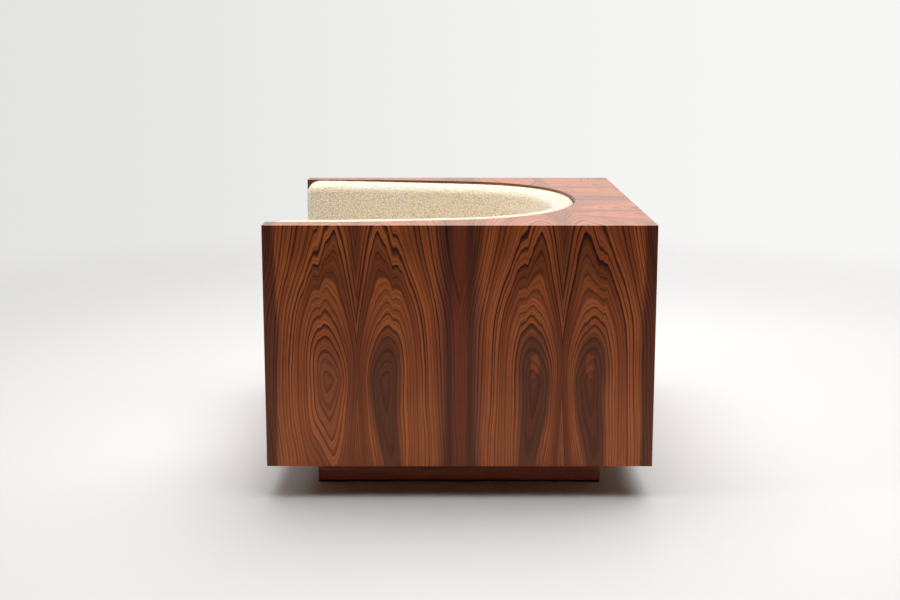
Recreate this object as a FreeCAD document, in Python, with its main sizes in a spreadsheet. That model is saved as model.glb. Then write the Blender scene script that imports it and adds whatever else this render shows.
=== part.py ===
"""Cube lounge chair: a veneered box case with a horseshoe well for the sitter, on a recessed plinth.

Millimetres, +Z up. The origin is on the floor under the middle of the chair, whose open front faces -Y.
The sitter's left is +X.
"""
import FreeCAD, Part
import Sketcher
import math
import os

doc = FreeCAD.newDocument("CubeLoungeChair")

# ---------------------------------------------------------------- driving dimensions

SIZES = [
    ("case_width", 820, "outside, across the arms"),
    ("case_depth", 780, "outside, front to back"),
    ("case_base", 68, "underside of the case above the floor"),
    ("case_top", 562, "top of arms and back above the floor"),
    ("panel", 20, "thickness of the veneered boards"),
    ("rail_top", 250, "top edge of the front rail above the floor"),
    ("opening_depth", 654, "front of the case to the back of the opening"),
    ("back_radius", 421, "opening: radius of its middle arc"),
    ("back_angle", 21.2, "opening: half the middle arc, in degrees"),
    ("corner_radius", 285, "opening: radius of its two corner arcs"),
    ("corner_angle", 78.3, "opening: where the corner arcs end, in degrees from the middle"),
    ("side_radius", 1775, "opening: radius of the long arcs along the arms"),
    ("arris", 1, "radius of the eased outer edges of the case"),
    ("lipping", 3, "thickness of the lipping round the opening"),
    ("shell", 8, "thickness of the bent ply shell"),
    ("ply", 18, "thickness of formers, bearers and seat frame"),
    ("board", 18, "thickness of the base board"),
    ("block", 28, "side of a square glue block"),
    ("post", 40, "side of a square back post"),
    ("lining", 50, "thickness of the upholstery on arms and back"),
    ("cloth", 3, "thickness of the boucle cover"),
    ("slack", 0.5, "clearance between upholstery and shell"),
    ("lining_drop", 1, "top of the upholstery below the top of the case"),
    ("lining_front", 2, "front of the upholstery behind the front of the case"),
    ("seat_frame_top", 232, "top of the ply seat frame above the floor"),
    ("frame_hole_half", 220, "half the width of the hole in the seat frame"),
    ("frame_hole_front", -320, "front edge of that hole"),
    ("frame_hole_back", 140, "back edge of that hole"),
    ("strap", 60, "width of a webbing strap"),
    ("strap_thick", 1.5, "thickness of a webbing strap"),
    ("strap_grip", 36, "length of strap that lies on the seat frame at each end"),
    ("strap_pitch", 92, "distance between neighbouring straps"),
    ("staple", 10, "width of a staple's crown"),
    ("staple_wire", 1, "thickness of a staple's wire"),
    ("cushion_gap", 3, "clearance between seat cushion and lining"),
    ("cushion_top", 400, "top of the seat cushion above the floor"),
    ("cushion_play", 0.3, "clearance under the cushion and between its foam and cover"),
    ("plinth_setback", 94, "plinth behind the outside of the case"),
    ("pad_height", 4, "foot pads under the plinth"),
    ("pad_side", 60, "side of a square foot pad"),
    ("dowel_radius", 4, "dowels between base board and panels"),
    ("dowel_depth", 10, "how far a dowel enters a panel"),
    ("dowel_length", 30, "whole length of a dowel"),
    ("dowel_pitch", 240, "distance between neighbouring dowels"),
    ("screw_radius", 2.5, "shank of a plinth screw"),
    ("screw_head", 5, "radius of its head"),
    ("screw_head_high", 4, "height of its head"),
    ("screw_length", 56, "whole length of a plinth screw"),
]

sheet = doc.addObject("Spreadsheet::Sheet", "Sizes")
for row, (alias, size, note) in enumerate(SIZES, start=1):
    sheet.set(f"A{row}", note)
    sheet.set(f"B{row}", str(size))
    sheet.setAlias(f"B{row}", alias)
doc.recompute()


def value(expression):
    """Number that an expression on the sheet stands for."""
    result = sheet.evalExpression(str(expression))
    return float(getattr(result, "Value", result))


# ---------------------------------------------------------------- planes of the case, as expressions

RIGHT = "Sizes.case_width/2"
BACK = "Sizes.case_depth/2"
FRONT = "-Sizes.case_depth/2"
INNER_RIGHT = "(Sizes.case_width/2 - Sizes.panel)"
INNER_BACK = "(Sizes.case_depth/2 - Sizes.panel)"
INNER_FRONT = "(Sizes.panel - Sizes.case_depth/2)"
CAP_UNDER = "(Sizes.case_top - Sizes.panel)"
FLOOR_BOARD = "(Sizes.case_base + Sizes.board)"
POST_BASE = "(Sizes.case_base + Sizes.board + Sizes.ply)"
POST_TOP = "(Sizes.case_top - Sizes.panel - Sizes.ply)"
FRAME_UNDER = "(Sizes.seat_frame_top - Sizes.ply)"
LINING_TOP = "(Sizes.case_top - Sizes.lining_drop)"
LINING_FRONT = "(Sizes.lining_front - Sizes.case_depth/2)"
BEYOND = "Sizes.case_width"

# Centres of the arcs that make the opening's curve. Each arc is tangent to the next.
BACK_Y = "(Sizes.opening_depth - Sizes.case_depth/2 - Sizes.back_radius)"
CORNER_X = "((Sizes.back_radius - Sizes.corner_radius)*sin(Sizes.back_angle))"
CORNER_Y = f"({BACK_Y} + (Sizes.back_radius - Sizes.corner_radius)*cos(Sizes.back_angle))"
SIDE_X = f"({CORNER_X} - (Sizes.side_radius - Sizes.corner_radius)*sin(Sizes.corner_angle))"
SIDE_Y = f"({CORNER_Y} - (Sizes.side_radius - Sizes.corner_radius)*cos(Sizes.corner_angle))"


def side_x(inset, y):
    """Where the curve, moved into the opening by inset, crosses depth y along an arm."""
    return f"({SIDE_X} + sqrt((Sizes.side_radius - ({inset}))^2 - (({y}) - {SIDE_Y})^2))"


def back_y(inset, x):
    """Where the curve, moved into the opening by inset, crosses width x behind the sitter."""
    return f"({BACK_Y} + sqrt((Sizes.back_radius - ({inset}))^2 - ({x})^2))"


# ---------------------------------------------------------------- outlines
# An outline is a list of (x, y, bend). The bend belongs to the edge that leaves the point: None for a
# straight edge, or (centre x, centre y, radius) for an arc.

def polygon(*points):
    return [(x, y, None) for x, y in points]


def rectangle(left, right, front, back):
    return polygon((left, front), (right, front), (right, back), (left, back))


def reverse(path):
    bends = [bend for _, _, bend in path[:-1]][::-1] + [None]
    return [(x, y, bend) for (x, y, _), bend in zip(path[::-1], bends)]


def mirror(path):
    """Same outline on the other side of the chair's middle plane."""
    flipped = []
    for x, y, bend in path:
        if bend:
            bend = (f"-({bend[0]})", bend[1], bend[2])
        flipped.append((f"-({x})", y, bend))
    return flipped


def horseshoe(inset, front):
    """The opening's curve moved inwards by inset, from the left arm's front round to the right arm's."""
    side = f"(Sizes.side_radius - ({inset}))"
    corner = f"(Sizes.corner_radius - ({inset}))"
    back = f"(Sizes.back_radius - ({inset}))"
    start = (side_x(inset, front), front)
    side_end = (f"{SIDE_X} + {side}*sin(Sizes.corner_angle)", f"{SIDE_Y} + {side}*cos(Sizes.corner_angle)")
    corner_end = (f"{CORNER_X} + {corner}*sin(Sizes.back_angle)",
                  f"{CORNER_Y} + {corner}*cos(Sizes.back_angle)")
    half = [start, side_end, corner_end]
    other_half = [(f"-({x})", y) for x, y in half[::-1]]
    bends = [
        (SIDE_X, SIDE_Y, side),
        (CORNER_X, CORNER_Y, corner),
        ("0", BACK_Y, back),
        (f"-{CORNER_X}", CORNER_Y, corner),
        (f"-{SIDE_X}", SIDE_Y, side),
        None,
    ]
    return [(x, y, bend) for (x, y), bend in zip(half + other_half, bends)]


def horseshoe_band(outer, inner, outer_front, inner_front=None):
    """A strip that follows the opening's curve between two insets, open at the front."""
    return horseshoe(outer, outer_front) + reverse(horseshoe(inner, inner_front or outer_front))


def draw(sketch, outline):
    """Adds a closed outline to a sketch, with every point and radius bound to the sheet."""
    count = len(outline)
    first = sketch.GeometryCount
    spots = [FreeCAD.Vector(value(x), value(y), 0) for x, y, _ in outline]
    tail = []
    head = []
    for i, (_, _, bend) in enumerate(outline):
        here = spots[i]
        there = spots[(i + 1) % count]
        if bend is None:
            sketch.addGeometry(Part.LineSegment(here, there), False)
            tail.append(1)
            head.append(2)
            continue
        centre = FreeCAD.Vector(value(bend[0]), value(bend[1]), 0)
        anticlockwise = (here - centre).cross(there - centre).z > 0
        begin, end = (here, there) if anticlockwise else (there, here)
        angles = [math.atan2(spot.y - centre.y, spot.x - centre.x) for spot in (begin, end)]
        circle = Part.Circle(centre, FreeCAD.Vector(0, 0, 1), value(bend[2]))
        sketch.addGeometry(Part.ArcOfCircle(circle, *angles), False)
        tail.append(1 if anticlockwise else 2)
        head.append(2 if anticlockwise else 1)
    for i in range(count):
        after = (i + 1) % count
        meeting = Sketcher.Constraint("Coincident", first + i, head[i], first + after, tail[after])
        sketch.addConstraint(meeting)
    for i, (x, y, bend) in enumerate(outline):
        bound = [("DistanceX", (-1, 1, first + i, tail[i]), x), ("DistanceY", (-1, 1, first + i, tail[i]), y)]
        if bend:
            bound.append(("Radius", (first + i,), bend[2]))
        for kind, where, expression in bound:
            index = sketch.addConstraint(Sketcher.Constraint(kind, *where, value(expression)))
            sketch.setExpression(f"Constraints[{index}]", str(expression))


# ---------------------------------------------------------------- ways to make a sub-part

def outline_sketch(body, plane_role, outlines, offset="0"):
    plane = [feature for feature in body.Origin.OriginFeatures if feature.Role == plane_role][0]
    sketch = body.newObject("Sketcher::SketchObject", body.Name + "_outline")
    sketch.AttachmentSupport = [(plane, "")]
    sketch.MapMode = "FlatFace"
    sketch.setExpression(".AttachmentOffset.Base.z", str(offset))
    for outline in outlines:
        draw(sketch, outline)
    return sketch


def prism(label, outlines, bottom, top, taper=0):
    """A body whose outlines, seen from above, are padded from bottom up to top."""
    body = doc.addObject("PartDesign::Body", label)
    sketch = outline_sketch(body, "XY_Plane", outlines, bottom)
    pad = body.newObject("PartDesign::Pad", label + "_pad")
    pad.Profile = sketch
    pad.setExpression("Length", f"({top}) - ({bottom})")
    pad.TaperAngle = taper
    return body


def cut_through(body, plane_role, outline):
    """Cuts an outline right through a body, both ways from the plane."""
    sketch = outline_sketch(body, plane_role, [outline])
    pocket = body.newObject("PartDesign::Pocket", body.Name + "_cut")
    pocket.Profile = sketch
    pocket.Type = "ThroughAll"
    pocket.SideType = "Symmetric"


def cut_from_below(body, outline, bottom, top):
    """Cuts an outline up into a body, from bottom to top."""
    sketch = outline_sketch(body, "XY_Plane", [outline], bottom)
    pocket = body.newObject("PartDesign::Pocket", body.Name + "_hollow")
    pocket.Profile = sketch
    pocket.Reversed = True
    pocket.setExpression("Length", f"({top}) - ({bottom})")


def box(label, left, right, front, back, bottom, top):
    solid = doc.addObject("Part::Box", label)
    solid.setExpression("Length", f"({right}) - ({left})")
    solid.setExpression("Width", f"({back}) - ({front})")
    solid.setExpression("Height", f"({top}) - ({bottom})")
    solid.setExpression("Placement.Base.x", str(left))
    solid.setExpression("Placement.Base.y", str(front))
    solid.setExpression("Placement.Base.z", str(bottom))
    return solid


def rod(label, radius, length, position, axis="z"):
    """A cylinder that starts at position and runs along +X, +Y or +Z."""
    turns = {
        "x": FreeCAD.Rotation(FreeCAD.Vector(0, 1, 0), 90),
        "y": FreeCAD.Rotation(FreeCAD.Vector(1, 0, 0), -90),
        "z": FreeCAD.Rotation(),
    }
    solid = doc.addObject("Part::Cylinder", label)
    solid.Placement.Rotation = turns[axis]
    solid.setExpression("Radius", radius)
    solid.setExpression("Height", length)
    for letter, expression in zip("xyz", position):
        solid.setExpression(f"Placement.Base.{letter}", str(expression))
    return solid


def group(label, members):
    """Separate solids of one kind that share a node."""
    compound = doc.addObject("Part::Compound", label)
    compound.Links = members
    return compound


def bored(label, blank, tool):
    """A blank with the holes that another group of pieces fills."""
    result = doc.addObject("Part::Cut", label)
    result.Base = blank
    result.Tool = tool
    return result


def case_envelope():
    """The outside of the whole case, with every edge eased."""
    block = box("case_block", f"-{RIGHT}", RIGHT, FRONT, BACK, "Sizes.case_base", "Sizes.case_top")
    doc.recompute()
    arris = value("Sizes.arris")
    envelope = doc.addObject("Part::Fillet", "case_envelope")
    envelope.Base = block
    envelope.Edges = [(index, arris, arris) for index in range(1, len(block.Shape.Edges) + 1)]
    return envelope


def eased(label, board):
    """A veneered board trimmed to the eased outside of the case."""
    result = doc.addObject("Part::Common", label)
    result.Base = board
    result.Tool = envelope
    return result


def round_edges(body, wanted):
    """Eases the edges of a body for which wanted(edge) is true."""
    doc.recompute()
    names = [f"Edge{i}" for i, edge in enumerate(body.Tip.Shape.Edges, start=1) if wanted(edge)]
    fillet = body.newObject("PartDesign::Fillet", body.Name + "_arris")
    fillet.Base = (body.getObject(body.Name + "_pad"), names)
    fillet.setExpression("Radius", "Sizes.arris")


SIDES = (("left", "1"), ("right", "-1"))
ENDS = (("front", "-1"), ("back", "1"))


def on_side(sign, outline):
    return outline if sign == "1" else mirror(outline)


def span(sign, near, far):
    """The two limits, low then high, of a piece that stands between near and far on one side or end."""
    return (near, far) if sign == "1" else (f"-({far})", f"-({near})")


# ---------------------------------------------------------------- case

def panel_dowels():
    """Dowels that lie across the joint between the base board and the four upright panels."""
    level = "Sizes.case_base + Sizes.board/2"
    solids = []
    for i, step in enumerate((-1, 0, 1)):
        along = f"{step}*Sizes.dowel_pitch"
        starts = {
            "left": (f"{INNER_RIGHT} + Sizes.dowel_depth - Sizes.dowel_length", along, level),
            "right": (f"-{INNER_RIGHT} - Sizes.dowel_depth", along, level),
            "back": (along, f"{INNER_BACK} + Sizes.dowel_depth - Sizes.dowel_length", level),
            "front": (along, f"{INNER_FRONT} - Sizes.dowel_depth", level),
        }
        for side, start in starts.items():
            axis = "x" if side in ("left", "right") else "y"
            solids.append(rod(f"dowel_{side}_{i}", "Sizes.dowel_radius", "Sizes.dowel_length", start, axis))
    return group("panel_dowels", solids)


def top_mitre_across(body, inner, outer):
    """Mitres the top edge of a board at the back or front of the case, cut along X."""
    mitre = polygon((inner, CAP_UNDER), (outer, "Sizes.case_top"), (inner, "Sizes.case_top"))
    cut_through(body, "YZ_Plane", mitre)


def side_panel(side, sign):
    """Upright side of the case, mitred to the back panel, the front rail and arm front, and the arm cap."""
    outline = polygon((RIGHT, FRONT), (RIGHT, BACK), (INNER_RIGHT, INNER_BACK), (INNER_RIGHT, INNER_FRONT))
    blank = prism(f"side_panel_{side}_blank", [on_side(sign, outline)], "Sizes.case_base", "Sizes.case_top")
    mitre = polygon((INNER_RIGHT, CAP_UNDER), (RIGHT, "Sizes.case_top"), (INNER_RIGHT, "Sizes.case_top"))
    cut_through(blank, "XZ_Plane", on_side(sign, mitre))
    return eased(f"side_panel_{side}", bored(f"side_panel_{side}_bored", blank, dowels))


def back_panel():
    outline = polygon((f"-{RIGHT}", BACK), (f"-{INNER_RIGHT}", INNER_BACK), (INNER_RIGHT, INNER_BACK),
                      (RIGHT, BACK))
    blank = prism("back_panel_blank", [outline], "Sizes.case_base", "Sizes.case_top")
    top_mitre_across(blank, INNER_BACK, BACK)
    return eased("back_panel", bored("back_panel_bored", blank, dowels))


def front_rail():
    """Board under the seat, mitred to both side panels."""
    outline = polygon((f"-{RIGHT}", FRONT), (RIGHT, FRONT), (INNER_RIGHT, INNER_FRONT),
                      (f"-{INNER_RIGHT}", INNER_FRONT))
    blank = prism("front_rail_blank", [outline], "Sizes.case_base", "Sizes.rail_top")
    return eased("front_rail", bored("front_rail_bored", blank, dowels))


def arm_front(side, sign):
    """Front of an arm above the rail, mitred to the side panel and the arm cap."""
    inner = f"({side_x('-Sizes.lipping', INNER_FRONT)} + 0.1)"
    outline = polygon((inner, FRONT), (RIGHT, FRONT), (INNER_RIGHT, INNER_FRONT), (inner, INNER_FRONT))
    blank = prism(f"arm_front_{side}_blank", [on_side(sign, outline)], "Sizes.rail_top", "Sizes.case_top")
    top_mitre_across(blank, INNER_FRONT, FRONT)
    return eased(f"arm_front_{side}", blank)


def arm_lipping(side, sign):
    """Lipping on the inner edge of an arm front, below the end of the rim band."""
    near = side_x("0", INNER_FRONT)
    far = f"({near} + Sizes.lipping)"
    left, right = span(sign, near, far)
    return box(f"arm_lipping_{side}", left, right, FRONT, INNER_FRONT, "Sizes.rail_top", CAP_UNDER)


def top_board(label):
    """The whole top: edges mitred under at 45 degrees all round, with the opening cut out."""
    corner = "Sizes.case_width/2 - Sizes.panel"
    underside = rectangle(f"-({corner})", corner, INNER_FRONT, INNER_BACK)
    body = prism(label, [underside], CAP_UNDER, "Sizes.case_top", taper=45)
    cut_through(body, "XY_Plane", horseshoe("-Sizes.lipping", f"-{BEYOND}"))
    return body


SEAM_X = "(Sizes.case_width/2 - Sizes.case_depth/2)"


def arm_cap(side, sign):
    """Top of an arm, up to the mitre that runs in at 45 degrees from the back corner."""
    body = top_board(f"arm_cap_{side}_blank")
    rest = polygon((RIGHT, BACK), (SEAM_X, "0"), (SEAM_X, f"-{BEYOND}"), (f"-{BEYOND}", f"-{BEYOND}"),
                   (f"-{BEYOND}", BEYOND), (RIGHT, BEYOND))
    cut_through(body, "XY_Plane", on_side(sign, rest))
    return eased(f"arm_cap_{side}", body)


def back_cap():
    """Top of the back, between the two 45 degree mitres."""
    body = top_board("back_cap_blank")
    rest = polygon((RIGHT, BACK), (SEAM_X, "0"), (f"-{SEAM_X}", "0"), (f"-{RIGHT}", BACK),
                   (f"-{BEYOND}", BACK), (f"-{BEYOND}", f"-{BEYOND}"), (BEYOND, f"-{BEYOND}"), (BEYOND, BACK))
    cut_through(body, "XY_Plane", rest)
    return eased("back_cap", body)


def rim_band():
    """Lipping bent round the inner edge of the caps, its upper inner edge eased."""
    body = prism("rim_band", [horseshoe_band("-Sizes.lipping", "0", FRONT)], CAP_UNDER, "Sizes.case_top")
    top = value("Sizes.case_top")
    arcs = [value(f"Sizes.{name}_radius") for name in ("side", "corner", "back")]

    def upper_inner(edge):
        curved = hasattr(edge.Curve, "Radius") and any(abs(edge.Curve.Radius - arc) < 0.01 for arc in arcs)
        return curved and abs(edge.BoundBox.ZMin - top) < 0.01

    round_edges(body, upper_inner)
    return body


def base_board():
    outline = rectangle(f"-{INNER_RIGHT}", INNER_RIGHT, INNER_FRONT, INNER_BACK)
    blank = prism("base_board_blank", [outline], "Sizes.case_base", FLOOR_BOARD)
    return bored("base_board", bored("base_board_doweled", blank, dowels), screws)


# ---------------------------------------------------------------- inside the case

def former(label, bottom, top):
    """Ply horseshoe that fills the space between the shell and the panels."""
    outer = "-Sizes.shell"
    rim = reverse(horseshoe(outer, INNER_FRONT))
    outline = polygon((INNER_RIGHT, INNER_FRONT), (INNER_RIGHT, INNER_BACK), (f"-{INNER_RIGHT}", INNER_BACK),
                      (f"-{INNER_RIGHT}", INNER_FRONT)) + rim
    return prism(label, [outline], bottom, top)


def front_stile(side, sign):
    near = f"({side_x('-Sizes.shell', INNER_FRONT)} + Sizes.slack)"
    back = f"{INNER_FRONT} + Sizes.block"
    left, right = span(sign, near, INNER_RIGHT)
    return box(f"front_stile_{side}", left, right, INNER_FRONT, back, POST_BASE, POST_TOP)


def back_post(side, sign):
    near = f"({INNER_RIGHT} - Sizes.post)"
    left, right = span(sign, near, INNER_RIGHT)
    front = f"{INNER_BACK} - Sizes.post"
    return box(f"back_post_{side}", left, right, front, INNER_BACK, POST_BASE, POST_TOP)


def side_rib(side, sign):
    """Rib between the shell and the side panel, half way along the arm."""
    near = f"({side_x('-Sizes.shell', '-Sizes.ply')} + Sizes.slack)"
    left, right = span(sign, near, INNER_RIGHT)
    return box(f"side_rib_{side}", left, right, "-Sizes.ply", "0", POST_BASE, POST_TOP)


def back_rib(side, sign):
    """Rib between the shell and the back panel."""
    near = "Sizes.back_radius/4"
    far = f"({near} + Sizes.ply)"
    left, right = span(sign, near, far)
    front = f"{back_y('-Sizes.shell', near)} + Sizes.slack"
    return box(f"back_rib_{side}", left, right, front, INNER_BACK, POST_BASE, POST_TOP)


def glue_blocks():
    """Blocks that stiffen the joint between front rail and base board."""
    solids = []
    for side, sign in SIDES:
        for i, step in enumerate((0.25, 1.15)):
            near = f"{step}*Sizes.frame_hole_half"
            left, right = span(sign, near, f"({near} + Sizes.block)")
            back = f"{INNER_FRONT} + Sizes.block"
            solids.append(box(f"glue_block_{side}_{i}", left, right, INNER_FRONT, back,
                              FLOOR_BOARD, FRAME_UNDER))
    return group("glue_blocks", solids)


def seat_bearer_side(side, sign):
    """Upright board that carries one side of the seat frame."""
    near = "Sizes.frame_hole_half + Sizes.strap"
    left, right = span(sign, near, f"({near} + Sizes.ply)")
    return box(f"seat_bearer_{side}", left, right, "Sizes.frame_hole_front", "0", FLOOR_BOARD, FRAME_UNDER)


def seat_bearer_back():
    half = "Sizes.frame_hole_half/2"
    front = "(Sizes.frame_hole_back + Sizes.strap)"
    return box("seat_bearer_back", f"-{half}", half, front, f"{front} + Sizes.ply", FLOOR_BOARD, FRAME_UNDER)


# ---------------------------------------------------------------- seat

def seat_frame():
    hole = rectangle("-Sizes.frame_hole_half", "Sizes.frame_hole_half",
                     "Sizes.frame_hole_front", "Sizes.frame_hole_back")
    outlines = [horseshoe("Sizes.slack", INNER_FRONT), hole]
    return prism("seat_frame", outlines, FRAME_UNDER, "Sizes.seat_frame_top")


STRAP_LOW = "Sizes.seat_frame_top"
STRAP_MID = "(Sizes.seat_frame_top + Sizes.strap_thick)"
STRAP_HIGH = "(Sizes.seat_frame_top + 2*Sizes.strap_thick)"
LENGTHWISE = (-1.5, -0.5, 0.5, 1.5)
CROSSWISE = (-2, -1, 0, 1, 2)
HOLE_MIDDLE = "(Sizes.frame_hole_front + Sizes.frame_hole_back)/2"
REACH_FRONT = "(Sizes.frame_hole_front - Sizes.strap_grip)"
REACH_BACK = "(Sizes.frame_hole_back + Sizes.strap_grip)"
REACH_SIDE = "(Sizes.frame_hole_half + Sizes.strap_grip)"


def webbing_crosswise():
    """Straps from side to side, under the lengthwise ones."""
    solids = []
    for i, step in enumerate(CROSSWISE):
        middle = f"({HOLE_MIDDLE} + {step}*Sizes.strap_pitch)"
        solids.append(box(f"strap_across_{i}", f"-{REACH_SIDE}", REACH_SIDE, f"{middle} - Sizes.strap/2",
                          f"{middle} + Sizes.strap/2", STRAP_LOW, STRAP_MID))
    return group("webbing_crosswise", solids)


def webbing_lengthwise():
    """Straps from front to back."""
    solids = []
    for i, step in enumerate(LENGTHWISE):
        middle = f"({step}*Sizes.strap_pitch)"
        solids.append(box(f"strap_along_{i}", f"{middle} - Sizes.strap/2", f"{middle} + Sizes.strap/2",
                          REACH_FRONT, REACH_BACK, STRAP_MID, STRAP_HIGH))
    return group("webbing_lengthwise", solids)


def webbing_staples():
    """Two staples over each end of each strap, flat on the strap."""
    solids = []
    crown = "Sizes.staple"
    wire = "Sizes.staple_wire"
    inset = "Sizes.strap_grip/2"
    for i, step in enumerate(LENGTHWISE):
        for j, shift in enumerate((-1, 1)):
            middle = f"({step}*Sizes.strap_pitch + {shift}*Sizes.strap/4)"
            for end, y in (("front", f"({REACH_FRONT} + {inset})"), ("back", f"({REACH_BACK} - {inset})")):
                solids.append(box(f"staple_{end}_{i}_{j}", f"{middle} - {crown}/2", f"{middle} + {crown}/2",
                                  y, f"{y} + {wire}", STRAP_HIGH, f"{STRAP_HIGH} + {wire}"))
    for i, step in enumerate(CROSSWISE):
        for j, shift in enumerate((-1, 1)):
            middle = f"({HOLE_MIDDLE} + {step}*Sizes.strap_pitch + {shift}*Sizes.strap/4)"
            for side, sign in SIDES:
                near = f"({REACH_SIDE} - {inset})"
                left, right = span(sign, near, f"({near} + {wire})")
                solids.append(box(f"staple_{side}_{i}_{j}", left, right, f"{middle} - {crown}/2",
                                  f"{middle} + {crown}/2", STRAP_MID, f"{STRAP_MID} + {wire}"))
    return group("webbing_staples", solids)


CUSHION_INSET = "(Sizes.lining + Sizes.cushion_gap)"


def deck_pad():
    """Thin pad over the webbing, level with the top of the front rail. The lining stands on its edge."""
    bottom = f"{STRAP_HIGH} + Sizes.staple_wire + Sizes.cushion_play"
    return prism("deck_pad", [horseshoe("Sizes.slack", INNER_FRONT)], bottom, "Sizes.rail_top")


def lining_cover():
    """Boucle skin over the inside, top and front ends of the arm and back foam, open towards the shell."""
    body = prism("lining_cover", [horseshoe_band("Sizes.slack", "Sizes.lining", LINING_FRONT)],
                 "Sizes.rail_top", LINING_TOP)
    inner = "(Sizes.lining - Sizes.cloth)"
    hollow = horseshoe_band("-Sizes.lipping", inner, f"({LINING_FRONT} + Sizes.cloth)")
    cut_from_below(body, hollow, "Sizes.rail_top", f"{LINING_TOP} - Sizes.cloth")
    return body


def lining_foam():
    """Foam of the arms and back, in one bent length."""
    play = "Sizes.cushion_play"
    front = f"({LINING_FRONT} + Sizes.cloth + {play})"
    band = horseshoe_band(f"(Sizes.slack + {play})", f"(Sizes.lining - Sizes.cloth - {play})", front)
    return prism("lining_foam", [band], "Sizes.rail_top", f"{LINING_TOP} - Sizes.cloth - {play}")


def seat_cushion():
    """Loose cushion: foam inside a cover sewn from a top, a bottom and a band between them."""
    low = "(Sizes.rail_top + Sizes.cushion_play)"
    high = "Sizes.cushion_top"
    inside = f"({CUSHION_INSET} + Sizes.cloth)"
    inside_front = f"({LINING_FRONT} + Sizes.cloth)"
    outline = horseshoe(CUSHION_INSET, LINING_FRONT)
    hole = horseshoe(inside, inside_front)
    filling = horseshoe(f"({inside} + Sizes.cushion_play)", f"({inside_front} + Sizes.cushion_play)")
    return [
        prism("cushion_bottom", [outline], low, f"{low} + Sizes.cloth"),
        prism("cushion_band", [outline, hole], f"{low} + Sizes.cloth", f"{high} - Sizes.cloth"),
        prism("cushion_top", [outline], f"{high} - Sizes.cloth", high),
        prism("cushion_foam", [filling], f"{low} + Sizes.cloth + Sizes.cushion_play",
              f"{high} - Sizes.cloth - Sizes.cushion_play"),
    ]


# ---------------------------------------------------------------- plinth

PLINTH_X = "(Sizes.case_width/2 - Sizes.plinth_setback)"
PLINTH_Y = "(Sizes.case_depth/2 - Sizes.plinth_setback)"
PLINTH_IN_X = "(Sizes.case_width/2 - Sizes.plinth_setback - Sizes.panel)"
PLINTH_IN_Y = "(Sizes.case_depth/2 - Sizes.plinth_setback - Sizes.panel)"
BLOCK_BASE = "(Sizes.pad_height + Sizes.panel)"
SCREW_IN = "(Sizes.post/2)"


def plinth_board_along(side, sign):
    outline = polygon((PLINTH_X, f"-{PLINTH_Y}"), (PLINTH_X, PLINTH_Y), (PLINTH_IN_X, PLINTH_IN_Y),
                      (PLINTH_IN_X, f"-{PLINTH_IN_Y}"))
    return prism(f"plinth_{side}", [on_side(sign, outline)], "Sizes.pad_height", "Sizes.case_base")


def plinth_board_across(end, sign):
    outer = f"({sign})*{PLINTH_Y}"
    inner = f"({sign})*{PLINTH_IN_Y}"
    outline = polygon((f"-{PLINTH_X}", outer), (f"-{PLINTH_IN_X}", inner), (PLINTH_IN_X, inner),
                      (PLINTH_X, outer))
    return prism(f"plinth_{end}", [outline], "Sizes.pad_height", "Sizes.case_base")


def plinth_stretcher():
    half = "Sizes.ply/2"
    return box("plinth_stretcher", f"-{half}", half, f"-{PLINTH_IN_Y}", PLINTH_IN_Y,
               BLOCK_BASE, "Sizes.case_base")


def corner_pieces(make):
    """One piece in each corner of the plinth, made by make(name, x sign, y sign)."""
    corners = [(side, x_sign, end, y_sign) for side, x_sign in SIDES for end, y_sign in ENDS]
    return [make(f"{side}_{end}", x_sign, y_sign) for side, x_sign, end, y_sign in corners]


def corner_box(label, x_sign, y_sign, far_x, far_y, size, bottom, top):
    """A square block whose outer corner stands at far_x, far_y on its own side."""
    left, right = span(x_sign, f"({far_x} - {size})", far_x)
    front, back = span(y_sign, f"({far_y} - {size})", far_y)
    return box(label, left, right, front, back, bottom, top)


def plinth_screws():
    def screw(corner, x_sign, y_sign):
        position = (f"{x_sign}*({PLINTH_IN_X} - {SCREW_IN})", f"{y_sign}*({PLINTH_IN_Y} - {SCREW_IN})",
                    BLOCK_BASE)
        solid = doc.addObject("Part::Fuse", f"plinth_screw_{corner}")
        solid.Base = rod(f"screw_shank_{corner}", "Sizes.screw_radius", "Sizes.screw_length", position)
        solid.Tool = rod(f"screw_head_{corner}", "Sizes.screw_head", "Sizes.screw_head_high", position)
        return solid
    return group("plinth_screws", corner_pieces(screw))


def plinth_blocks():
    def block(corner, x_sign, y_sign):
        return corner_box(f"plinth_block_{corner}", x_sign, y_sign, PLINTH_IN_X, PLINTH_IN_Y, "Sizes.post",
                          BLOCK_BASE, "Sizes.case_base")
    return bored("plinth_blocks", group("plinth_block_blanks", corner_pieces(block)), screws)


def foot_pads():
    def pad(corner, x_sign, y_sign):
        return corner_box(f"foot_pad_{corner}", x_sign, y_sign, PLINTH_X, PLINTH_Y, "Sizes.pad_side",
                          "0", "Sizes.pad_height")
    return group("foot_pads", corner_pieces(pad))


# ---------------------------------------------------------------- assembly

envelope = case_envelope()
dowels = panel_dowels()
screws = plinth_screws()
nodes = [dowels, screws, back_panel(), front_rail(), back_cap(), rim_band(), base_board()]
for side, sign in SIDES:
    nodes += [side_panel(side, sign), arm_front(side, sign), arm_lipping(side, sign), arm_cap(side, sign)]

nodes.append(prism("inner_shell", [horseshoe_band("-Sizes.shell", "0", INNER_FRONT)], FLOOR_BOARD, CAP_UNDER))
nodes.append(former("former_lower", FLOOR_BOARD, POST_BASE))
nodes.append(former("former_upper", POST_TOP, CAP_UNDER))
for side, sign in SIDES:
    nodes += [front_stile(side, sign), back_post(side, sign), side_rib(side, sign), back_rib(side, sign)]
    nodes.append(seat_bearer_side(side, sign))
nodes += [glue_blocks(), seat_bearer_back()]

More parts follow.
